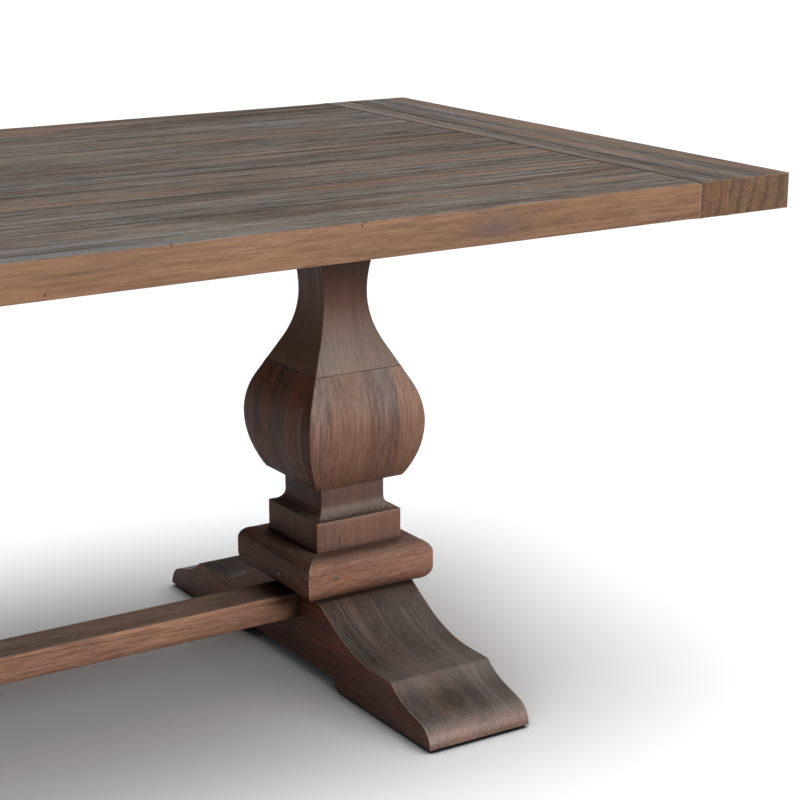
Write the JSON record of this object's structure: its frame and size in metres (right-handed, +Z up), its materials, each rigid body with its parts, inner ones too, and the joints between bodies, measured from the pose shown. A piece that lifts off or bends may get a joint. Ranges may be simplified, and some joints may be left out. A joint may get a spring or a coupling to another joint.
{
  "type": "trestle dining table",
  "caption": "Wooden trestle dining table with a plank top and breadboard ends, carved square pedestals on runner feet and a low stretcher.",
  "frame": {"origin": "on the floor under the middle of the top", "axes": "+X along the table, +Y across it towards the back, +Z up"},
  "size_m": [2.134, 0.965, 0.762],
  "materials": {
    "top_wood": "worn grey-brown oil finish, open grain",
    "base_wood": "dark reddish-brown stain, worn to lighter edges",
    "plug_wood": "grey-brown end grain",
    "joinery_wood": "plain hardwood, sawn",
    "zinc_steel": "zinc plated",
    "pad_plastic": "black polyethylene"
  },
  "bodies": {
    "root": {"barrel_nuts": "zinc_steel", "base_moulding_back_left": "base_wood", "base_moulding_back_right": "base_wood", "base_moulding_front_left": "base_wood", "base_moulding_front_right": "base_wood", "base_moulding_inner_left": "base_wood", "base_moulding_inner_right": "base_wood", "base_moulding_outer_left": "base_wood", "base_moulding_outer_right": "base_wood", "bearer_left": "base_wood", "bearer_right": "base_wood", "bulb_cheek_back_left": "base_wood", "bulb_cheek_back_right": "base_wood", "bulb_cheek_front_left": "base_wood", "bulb_cheek_front_right": "base_wood", "bulb_cheek_inner_left": "base_wood", "bulb_cheek_inner_right": "base_wood", "bulb_cheek_outer_left": "base_wood", "bulb_cheek_outer_right": "base_wood", "end_board_left": "top_wood", "end_board_right": "top_wood", "end_spline_left": "joinery_wood", "end_spline_right": "joinery_wood", "end_strip_left": "top_wood", "end_strip_right": "top_wood", "foot_left": "base_wood", "foot_right": "base_wood", "glides_left": "pad_plastic", "glides_right": "pad_plastic", "lag_screws_left": "zinc_steel", "lag_screws_right": "zinc_steel", "post_left": "base_wood", "post_right": "base_wood", "stretcher": "base_wood", "stretcher_bolts": "zinc_steel", "tie_nuts_left": "zinc_steel", "tie_nuts_right": "zinc_steel", "tie_rod_left": "zinc_steel", "tie_rod_right": "zinc_steel", "top_plank_1": "top_wood", "top_plank_2": "top_wood", "top_plank_3": "top_wood", "top_plank_4": "top_wood", "top_plank_5": "top_wood", "top_plank_6": "top_wood", "top_plank_7": "top_wood"}
  },
  "joints": []
}
